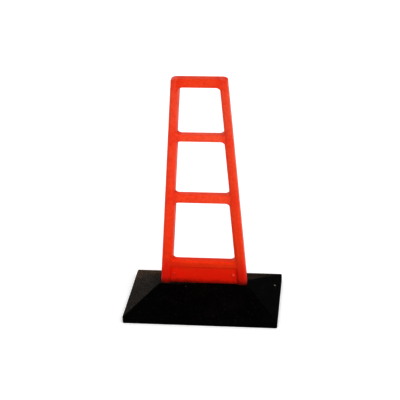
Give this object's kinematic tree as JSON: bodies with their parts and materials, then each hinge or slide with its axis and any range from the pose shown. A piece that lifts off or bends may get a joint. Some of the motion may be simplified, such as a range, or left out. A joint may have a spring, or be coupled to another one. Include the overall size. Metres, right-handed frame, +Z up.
{
  "type": "lane separator",
  "caption": "Free-standing lane separator: a tapering orange ladder frame that plugs onto spigots in a black hipped rubber base, to mark and divide traffic lanes.",
  "frame": {"origin": "middle of the base's underside, on the road surface", "axes": "+Z up, +X along the frame's width to the right as seen from the front, +Y to the back"},
  "size_m": [0.48, 0.318, 0.75],
  "materials": {
    "orange_plastic": "satin moulded plastic, red-orange",
    "black_rubber": "moulded crumb rubber, black, slightly speckled",
    "dark_plastic": "dark moulded plastic",
    "zinc_steel": "zinc-plated steel",
    "painted_steel": "steel bolt painted red-orange"
  },
  "bodies": {
    "base": {"rubber_base": "black_rubber", "backing_plate": "zinc_steel", "left_spigot": "zinc_steel", "right_spigot": "zinc_steel", "spigot_bolts": "zinc_steel", "spigot_washers": "zinc_steel"},
    "frame": {"skirt_nuts": "zinc_steel", "rail_screws": "zinc_steel", "left_stile": "orange_plastic", "right_stile": "orange_plastic", "left_top_cap": "orange_plastic", "right_top_cap": "orange_plastic", "top_rail": "orange_plastic", "upper_rung": "orange_plastic", "lower_rung": "orange_plastic", "bottom_rail": "orange_plastic", "front_skirt_panel": "orange_plastic", "rear_skirt_panel": "orange_plastic", "left_foot_socket": "dark_plastic", "right_foot_socket": "dark_plastic", "skirt_bolts": "painted_steel"}
  },
  "joints": [
    {"name": "frame_lift", "type": "slide", "parent": "base", "child": "frame", "axis": [0, 0, 1], "range_m": [0, 0.06]}
  ]
}
